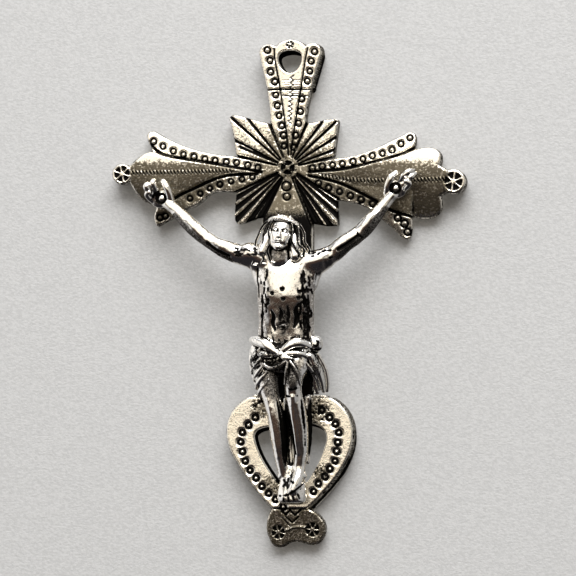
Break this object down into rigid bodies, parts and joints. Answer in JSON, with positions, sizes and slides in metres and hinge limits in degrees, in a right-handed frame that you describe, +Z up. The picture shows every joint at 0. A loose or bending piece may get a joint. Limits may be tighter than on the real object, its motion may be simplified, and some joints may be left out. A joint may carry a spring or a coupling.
{
  "type": "crucifix pendant",
  "caption": "Silver crucifix pendant: chased cross with ray burst, leaf arms, heart-shaped loop and lobed foot, carrying a cast figure and hanging from a hole in its top arm.",
  "frame": {"origin": "centre of the hanging hole, on the flat back plane", "axes": "+Z up along the cross as it hangs, +X to the viewer's right, the front faces -Y and the flat back faces +Y"},
  "size_m": [0.0623, 0.0108, 0.088],
  "materials": {
    "chased_silver": "worn satin silver with blackened recesses and brown mottled patina",
    "polished_silver": "polished cast silver with blackened folds",
    "nail_silver": "polished silver wire, domed heads"
  },
  "bodies": {
    "root": {"cross_plate": "chased_silver", "suspension_tongue": "chased_silver", "heart_loop": "chased_silver", "foot_finial": "chased_silver", "corpus": "polished_silver", "left_palm_nail": "nail_silver", "right_palm_nail": "nail_silver", "feet_rivet": "nail_silver"}
  },
  "joints": []
}
